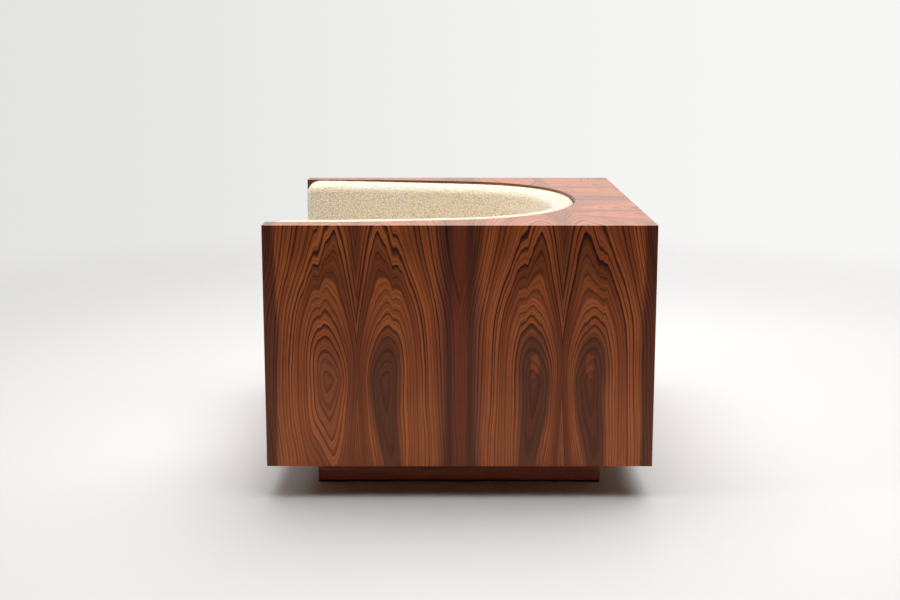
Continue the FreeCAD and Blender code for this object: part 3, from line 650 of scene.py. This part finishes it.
def slab(across, up, deep):
    """Points and faces of a closed box, all six sides gridded, its edges divided at the given places."""
    index = {}
    points = []
    faces = []

    def at(i, j, k):
        if (i, j, k) not in index:
            index[i, j, k] = len(points)
            points.append((across[i], up[j], deep[k]))
        return index[i, j, k]

    ends = (len(across) - 1, len(up) - 1, len(deep) - 1)
    for fixed in range(3):
        first, second = [axis for axis in range(3) if axis != fixed]
        for level in (0, ends[fixed]):
            for a in range(ends[first]):
                for b in range(ends[second]):
                    corner = [0, 0, 0]
                    corner[fixed] = level
                    loop = []
                    for da, db in ((0, 0), (1, 0), (1, 1), (0, 1)):
                        corner[first], corner[second] = a + da, b + db
                        loop.append(at(*corner))
                    faces.append(loop)
    return np.array(points), faces


def rounded(points, low, high, radius):
    """Moves points of a box's surface onto the same box with its edges rounded."""
    core = np.clip(points, np.array(low) + radius, np.array(high) - radius)
    out = points - core
    length = np.linalg.norm(out, axis=1, keepdims=True)
    return np.where(length > 1e-9, core + out / np.maximum(length, 1e-9) * radius, points)


def face_outwards(piece):
    build = bmesh.new()
    build.from_mesh(piece.data)
    bmesh.ops.recalc_face_normals(build, faces=build.faces)
    build.to_mesh(piece.data)
    build.free()
    for polygon in piece.data.polygons:
        polygon.use_smooth = True


def apply_modifiers(piece):
    bpy.context.view_layer.update()
    built = bpy.data.meshes.new_from_object(piece.evaluated_get(bpy.context.evaluated_depsgraph_get()))
    piece.modifiers.clear()
    piece.data = built


def loops_of_yarn(piece, depth, size, shown):
    """Raises the boucle's loops on a fine mesh. shown(points) is 1 where they show and 0 where hidden."""
    group = piece.vertex_groups.new(name="shown")
    points = np.array([vertex.co for vertex in piece.data.vertices])
    for index, share in enumerate(shown(points)):
        if share > 0:
            group.add([index], float(share), "REPLACE")
    for name, scale, part in (("loops", size, 1.0), ("curls", size * 0.5, 0.4)):
        texture = bpy.data.textures.new(f"{piece.name}_{name}", "CLOUDS")
        texture.noise_scale = scale
        texture.noise_depth = 1
        texture.noise_basis = "VORONOI_F1" if name == "loops" else "ORIGINAL_PERLIN"
        move = piece.modifiers.new(name, "DISPLACE")
        move.texture = texture
        move.texture_coords = "LOCAL"
        move.strength = -depth * part if name == "loops" else depth * part
        move.mid_level = 0.35 if name == "loops" else 0.5
        move.vertex_group = "shown"
    apply_modifiers(piece)


LINING_FINE = 0.0034     # spacing of mesh lines where the boucle shows
LINING_COARSE = 0.012    # and below the seat cushion
LINING_ROUND = 0.0245    # radius of its rolled edges
LINING_GAP = 0.0004      # between the lining and the wood round it
LINING_SEEN = 0.37       # height above the floor where it starts to show
LINING_SPAN = 2 * 0.915  # length of the lining round the horseshoe, in the middle of its thickness
LINING_CORNER = 0.050    # length over which its top slopes down to its front ends
LINING_DIP = 0.010       # and how far
LINING_PROUD = 0.0010    # how far the foam swells above the left arm
LINING_SUNK = 0.0050     # and how far it lies lower half way along the right
LINING_SHOULDER = 0.008  # how far the foam fills up the corner between its roll and the rim


def make_lining():
    """Upholstery of arms and back: one bent slab under boucle, its top edge and front ends rolled over."""
    height = LINING_HIGH.z - LINING_LOW.z
    under_cushion = CUSHION_HIGH.z - LINING_LOW.z - 0.02
    along = spaced(0.0, LINING_SPAN, LINING_FINE)
    up = spaced(0.0, under_cushion, LINING_COARSE)[:-1] + spaced(under_cushion, height, LINING_FINE)
    deep = spaced(0.0, LINING_THICK, LINING_FINE)
    points, faces = slab(along, up, deep)
    points = rounded(points, (0, -1, 0), (LINING_SPAN, height, LINING_THICK), LINING_ROUND)

    front = LINING_LOW.y
    bent = []
    for length, level, depth in points:
        share = length / LINING_SPAN * 2 - 1
        x, y = horseshoe(share, depth + LINING_GAP, front)
        drop = -LINING_SHOULDER * max(0.0, 1 - depth / LINING_ROUND) * max(0.0, level / height) ** 3
        short = max(0.0, LINING_CORNER - min(length, LINING_SPAN - length))
        drop += LINING_DIP * (short / LINING_CORNER) ** 2 * max(0.0, 1 - (height - level) / 0.12) ** 1.5
        if share > 0:
            swell = LINING_PROUD * min(1.0, share / 0.75)
        else:
            swell = LINING_SUNK * math.sin(math.pi * share)
        drop -= swell * max(0.0, level / height - 0.7) / 0.3
        bent.append((x, y, LINING_LOW.z + level - drop))
    piece = mesh_object("lining_boucle", bent, faces, BOUCLE)
    face_outwards(piece)
    return piece


def lining_shown(points):
    return np.clip((points[:, 2] - LINING_SEEN) / 0.01, 0.15, 1)


def inset_at(x, y):
    """How far inside the horseshoe curve the points lie, and the unit vectors outwards from there."""
    spots = np.stack([np.abs(x), y], axis=1)
    best = np.full(len(spots), np.nan)
    outwards = np.zeros_like(spots)
    for centre, radius, _, end in ARCS:
        spoke = spots - centre
        angle = np.arctan2(spoke[:, 0], spoke[:, 1])
        on_arc = (angle >= -1e-6) & (angle <= end) | (end == math.pi)
        free = np.isnan(best) & on_arc
        length = np.linalg.norm(spoke, axis=1)
        best[free] = (radius - length)[free]
        outwards[free] = (spoke / np.maximum(length, 1e-6)[:, None])[free]
    outwards[:, 0] *= np.sign(x)
    return best, outwards


def coordinates(piece):
    flat = np.empty(len(piece.data.vertices) * 3, np.float32)
    piece.data.vertices.foreach_get("co", flat)
    return flat.reshape(-1, 3).astype(float)


def set_coordinates(piece, points):
    piece.data.vertices.foreach_set("co", points.astype(np.float32).ravel())
    piece.data.update()


def keep_inside(points, inset, front, low):
    """Moves points that stray out of a seat form back to its sides, front and bottom."""
    depth, outwards = inset_at(points[:, 0], points[:, 1])
    points[:, :2] -= outwards * np.maximum(inset - depth, 0)[:, None]
    points[:, 1] = np.maximum(points[:, 1], front)
    points[:, 2] = np.maximum(points[:, 2], low)
    return points


def seat_form(name, inset, front, low, high, voxel, finish):
    """Closed form in the seat's outline, flat above and below, on an even mesh that cloth can bend."""
    outline = [horseshoe(share, inset, front) for share in np.linspace(-1, 1, 161)]
    count = len(outline)
    points = [(*spot, level) for level in (low, high) for spot in outline]
    walls = [(i, (i + 1) % count, count + (i + 1) % count, count + i) for i in range(count)]
    piece = mesh_object(name, points, [*walls, range(count - 1, -1, -1), range(count, 2 * count)], finish)
    remesh = piece.modifiers.new("even mesh", "REMESH")
    remesh.mode = "VOXEL"
    remesh.voxel_size = voxel
    apply_modifiers(piece)
    soften = piece.modifiers.new("soften", "SMOOTH")
    soften.factor = 0.5
    soften.iterations = 4
    apply_modifiers(piece)
    return piece


def inflate(piece, cap):
    """Lets cloth swell under the filling's pressure, no point moving further than cap."""
    rest = coordinates(piece)
    cloth = piece.modifiers.new("cloth", "CLOTH")
    cloth.settings.quality = 6
    cloth.settings.mass = 0.4
    cloth.settings.tension_stiffness = 12
    cloth.settings.compression_stiffness = 12
    cloth.settings.bending_stiffness = 1.5
    cloth.settings.use_pressure = True
    cloth.settings.uniform_pressure_force = 4.0
    cloth.settings.effector_weights.gravity = 0.0
    cloth.point_cache.frame_start = 1
    cloth.point_cache.frame_end = 20
    for frame_number in range(1, 21):
        scene.frame_set(frame_number)
    apply_modifiers(piece)
    scene.frame_set(1)
    moved = coordinates(piece) - rest
    length = np.linalg.norm(moved, axis=1, keepdims=True)
    set_coordinates(piece, rest + moved * np.minimum(1.0, cap / np.maximum(length, 1e-9)))


def subdivide(piece):
    step = piece.modifiers.new("finer", "SUBSURF")
    step.levels = step.render_levels = 1
    apply_modifiers(piece)


CUSHION_SIDE = 0.0585      # the cushion's form before it swells, inside the horseshoe
CUSHION_LIMIT = 0.0515     # and the furthest out that its sides may come
CUSHION_EDGE = 0.016       # height of the crown from its edge to its middle
CUSHION_WAIST = 0.0035     # how far its band is pulled in
CUSHION_BAND = 0.012       # and how far in from its sides that reaches
CUSHION_SLOPE = 0.20       # distance from the edge over which the crown rises
CUSHION_LIFT = 0.0006      # between it and the pad under it
WELT = 0.0042              # radius of the piping
WELT_SIDES = 14            # and its corners


def crown(points):
    """0 at the cushion's edge, rising smoothly to 1 well inside it."""
    depth, _ = inset_at(points[:, 0], points[:, 1])
    edge = np.minimum(depth - CUSHION_SIDE, points[:, 1] - LINING_LOW.y - 0.008)
    share = np.clip(edge / CUSHION_SLOPE, 0, 1)
    return 1 - (1 - share) ** 2.2


def make_cushion():
    """Loose seat cushion in boucle: crowned on top, flat where it rests, its band pulled in a little."""
    low = CUSHION_LOW.z + CUSHION_LIFT
    edge_up = CUSHION_HIGH.z - CUSHION_EDGE - 0.004
    front = LINING_LOW.y + 0.010
    high = edge_up - 0.004
    piece = seat_form("cushion_boucle", CUSHION_SIDE, front, low, high, voxel=0.0065, finish=BOUCLE_SEAT_SHADED)
    inflate(piece, cap=0.010)
    points = coordinates(piece)
    height = np.clip((points[:, 2] - low) / (edge_up - low), 0, 1.2)
    points[:, 2] += crown(points) * CUSHION_EDGE * height ** 2
    waist = CUSHION_WAIST * np.sin(np.clip(height, 0, 1) * math.pi)
    depth, outwards = inset_at(points[:, 0], points[:, 1])
    near_side = np.clip((CUSHION_SIDE + CUSHION_BAND - depth) / CUSHION_BAND, 0, 1)
    points[:, :2] -= outwards * (near_side * waist)[:, None]
    points = keep_inside(points, CUSHION_LIMIT + 0.0006, LINING_LOW.y + 0.0005, low)
    set_coordinates(piece, points)
    subdivide(piece)
    loops_of_yarn(piece, depth=0.0010, size=0.0085, shown=cushion_shown)
    return piece


def piping(name, cushion, level):
    """Covered cord sewn into the cushion's edge, found on the swollen cushion near the given level."""
    outline = [horseshoe(share, CUSHION_LIMIT, LINING_LOW.y + 0.002) for share in np.linspace(-1, 1, 300)]
    across = np.linspace(outline[-1], outline[0], 90)[1:-1]
    surface = coordinates(cushion)
    route = []
    for spot in [*outline, *across]:
        away = (surface - (*spot, level)) ** 2 * (1, 1, 0.4)
        route.append(surface[np.argmin(away.sum(axis=1))])
    route = np.array(route)
    for _ in range(8):
        route = (np.roll(route, 1, axis=0) + route * 2 + np.roll(route, -1, axis=0)) / 4
    steps = np.r_[0, np.cumsum(np.linalg.norm(np.roll(route, -1, axis=0) - route, axis=1))]
    even = np.linspace(0, steps[-1], round(steps[-1] / 0.003), endpoint=False)
    closed = np.vstack([route, route[:1]])
    route = np.stack([np.interp(even, steps, closed[:, axis]) for axis in range(3)], axis=1)
    lowest = CUSHION_LOW.z + WELT + 0.0005
    route = keep_inside(route, CUSHION_LIMIT + WELT, LINING_LOW.y + WELT + 0.001, lowest)

    ahead = np.roll(route, -1, axis=0) - np.roll(route, 1, axis=0)
    ahead /= np.linalg.norm(ahead, axis=1, keepdims=True)
    out = np.cross(ahead, (0, 0, 1))
    out /= np.linalg.norm(out, axis=1, keepdims=True)
    up = np.cross(out, ahead)
    points = []
    faces = []
    for ring in range(len(route)):
        for corner in range(WELT_SIDES):
            turn = 2 * math.pi * corner / WELT_SIDES
            points.append(route[ring] + WELT * (math.cos(turn) * out[ring] + math.sin(turn) * up[ring]))
            beside = (corner + 1) % WELT_SIDES
            following = (ring + 1) % len(route)
            faces.append((ring * WELT_SIDES + corner, ring * WELT_SIDES + beside,
                          following * WELT_SIDES + beside, following * WELT_SIDES + corner))
    piece = mesh_object(name, points, faces, BOUCLE_SEAT_SHADED)
    face_outwards(piece)
    loops_of_yarn(piece, depth=0.0010, size=0.0062, shown=lambda points: np.ones(len(points)))
    return piece


def cushion_shown(points):
    return np.clip((points[:, 2] - CUSHION_LOW.z - 0.004) / 0.02, 0, 1)


DECK_STITCH = 0.072        # row of stitches, inside the horseshoe
DECK_QUILT = 0.0035        # depth of the groove that they pull down
DECK_GAP = 0.0004          # above and below the pad


def make_deck():
    """Thin quilted pad on the webbing, with a row of stitches round it."""
    low = DECK_LOW.z + DECK_GAP
    high = DECK_HIGH.z - DECK_GAP
    front = DECK_LOW.y + 0.002
    piece = seat_form("deck_pad_cloth", 0.004, front, low, high - 0.0015, voxel=0.006, finish=DECK_CLOTH)
    inflate(piece, cap=0.003)
    points = coordinates(piece)
    depth, _ = inset_at(points[:, 0], points[:, 1])
    edge = np.minimum(depth, points[:, 1] - DECK_LOW.y)
    groove = np.exp(-((edge - DECK_STITCH) / 0.006) ** 2)
    top = np.clip((points[:, 2] - low) / (high - low), 0, 1) > 0.6
    points[:, 2] -= np.where(top, DECK_QUILT * groove, 0)
    points = keep_inside(points, 0.0008, DECK_LOW.y + 0.0005, low)
    points[:, 2] = np.minimum(points[:, 2], high)
    set_coordinates(piece, points)
    subdivide(piece)
    return piece


COTTON_THREADS = 900       # threads in a metre of its cloth


def deck_look(t):
    """Unbleached cotton: plain weave, slubs and small dark seed flecks."""
    x, y, z, spot = t.place()
    warp = t.math("SINE", t.times(x, 2 * math.pi * COTTON_THREADS))
    weft = t.math("SINE", t.times(y, 2 * math.pi * COTTON_THREADS))
    weave = t.plus(t.times(t.times(warp, weft), 0.5), 0.5)
    slub = t.noise(t.vector(t.times(x, 40.0), t.times(y, 900.0), t.times(z, 40.0)), detail=3.0)
    flecks = t.step(t.noise(spot, 420.0, 1.0), 0.70, 0.76)
    tone = t.colour(t.step(slub, 0.3, 0.7), (0.52, 0.43, 0.30), (0.68, 0.59, 0.44))
    tone = t.colour(t.times(weave, 0.30), tone, (0.34, 0.26, 0.16))
    return {
        "Base_Color": t.colour(t.times(flecks, 0.6), tone, (0.16, 0.10, 0.05)),
        "Normal": t.relief(t.plus(weave, slub), 0.0004, 0.7),
    }


DECK_CLOTH = material("deck_cloth", deck_look, Roughness=0.88)

lining = make_lining()
loops_of_yarn(lining, depth=0.0012, size=0.0075, shown=lining_shown)
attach(lining, "chair")
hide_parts("lining_cover", "lining_foam")

cushion = make_cushion()
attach(cushion, "seat_cushion")
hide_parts("cushion_bottom", "cushion_band", "cushion_top", "cushion_foam")

for edge, level in (("top", CUSHION_HIGH.z - CUSHION_EDGE - 0.012), ("bottom", CUSHION_LOW.z + 0.010)):
    welt = piping(f"cushion_welt_{edge}", cushion, level)
    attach(welt, "seat_cushion")

deck = make_deck()
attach(deck, "chair")
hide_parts("deck_pad")


# ---------------------------------------------------------------- camera, light and floor

FLOOR_FULL = 1.2     # the floor is solid out to here
FLOOR_EDGE = 3.2     # and gone from here
FLOOR_GAP = 0.0002   # below the chair, so that the two never share a plane
CAMERA_PLACE = (2.7560, -0.0164, 0.9246)
CAMERA_DOWN = 8.915  # degrees that it looks down
CAMERA_TURN = 0.07   # and that it turns towards the chair's front


def camera():
    """Looks at the chair's left side from a little above."""
    data = bpy.data.cameras.new("camera")
    data.sensor_width = 36.0
    data.lens = 48.39
    data.shift_y = -0.08
    eye = bpy.data.objects.new("camera", data)
    eye.location = CAMERA_PLACE
    eye.rotation_euler = Euler((math.radians(90 - CAMERA_DOWN), 0.0, math.radians(90 + CAMERA_TURN)))
    scene.collection.objects.link(eye)
    scene.camera = eye


def softbox(name, place, target, width, height, power, spread=180):
    """Rectangular light that the camera doesn't see. power is in watts, spread in degrees."""
    data = bpy.data.lights.new(name, "AREA")
    data.shape = "RECTANGLE"
    data.size = width
    data.size_y = height
    data.energy = power
    data.spread = math.radians(spread)
    lamp = bpy.data.objects.new(name, data)
    lamp.location = place
    ahead = Vector(target) - Vector(place)
    lamp.rotation_euler = ahead.to_track_quat("-Z", "Y").to_euler()
    lamp.visible_camera = False
    scene.collection.objects.link(lamp)


def floor():
    """Pale seamless floor that fades out away from the chair, and looks dim in reflections."""
    def look(t):
        x, y, _, spot = t.place()
        haze = t.noise(spot, 1.3, 3.0)
        distance = t.math("SQRT", t.plus(t.times(x, x), t.times(y, y)))
        tone = t.colour(haze, (0.605, 0.595, 0.586), (0.622, 0.612, 0.603))
        mirrored = t.add("ShaderNodeLightPath").outputs["Is Glossy Ray"]
        return {
            "Base_Color": t.colour(mirrored, tone, (0.085, 0.070, 0.060)),
            "Alpha": t.step(distance, FLOOR_EDGE, FLOOR_FULL),
        }
    finish = material("floor", look, Roughness=0.75)
    turns = [(-1, -1), (1, -1), (1, 1), (-1, 1)]
    corners = [(x * FLOOR_EDGE, y * FLOOR_EDGE, 0) for x, y in turns]
    piece = mesh_object("floor", corners, [(0, 1, 2, 3)], finish)
    piece.location.z = -FLOOR_GAP


def background(strength, darker, lighter):
    """Pale backdrop, lighter towards the chair's back, and dim light from it.

    The light, and the backdrop that reflections see a little dimmer, are on the chair's right only.
    """
    world = bpy.data.worlds.new("studio")
    world.use_nodes = True
    t = Tree(world.node_tree)
    shader = world.node_tree.nodes["Background"]
    shader.inputs["Color"].default_value = (1.0, 0.995, 0.985, 1.0)
    parts = t.add("ShaderNodeSeparateXYZ")
    t.put(parts.inputs[0], t.add("ShaderNodeTexCoord").outputs["Generated"])
    shade = t.blend(t.step(parts.outputs["Y"], -0.4, 0.3), darker, lighter)
    rays = t.add("ShaderNodeLightPath").outputs
    far_side = t.step(parts.outputs["X"], 0.4, -0.3)
    mirrored = t.times(shade, 0.85)
    cast = t.times(far_side, t.blend(rays["Is Glossy Ray"], strength, mirrored))
    t.put(shader.inputs["Strength"], t.blend(rays["Is Camera Ray"], cast, shade))
    scene.world = world


camera()
floor()
background(strength=0.28, darker=0.78, lighter=0.93)
softbox("overhead", place=(-0.45, 0.4, 3.7), target=(-0.15, 0.1, 0.0), width=4.3, height=4.4, power=290.0)
softbox("front", place=(0.5, -2.1, 1.8), target=(0.0, 0.15, 0.5), width=1, height=1, power=2.4, spread=60)
scene.view_settings.view_transform = "Standard"
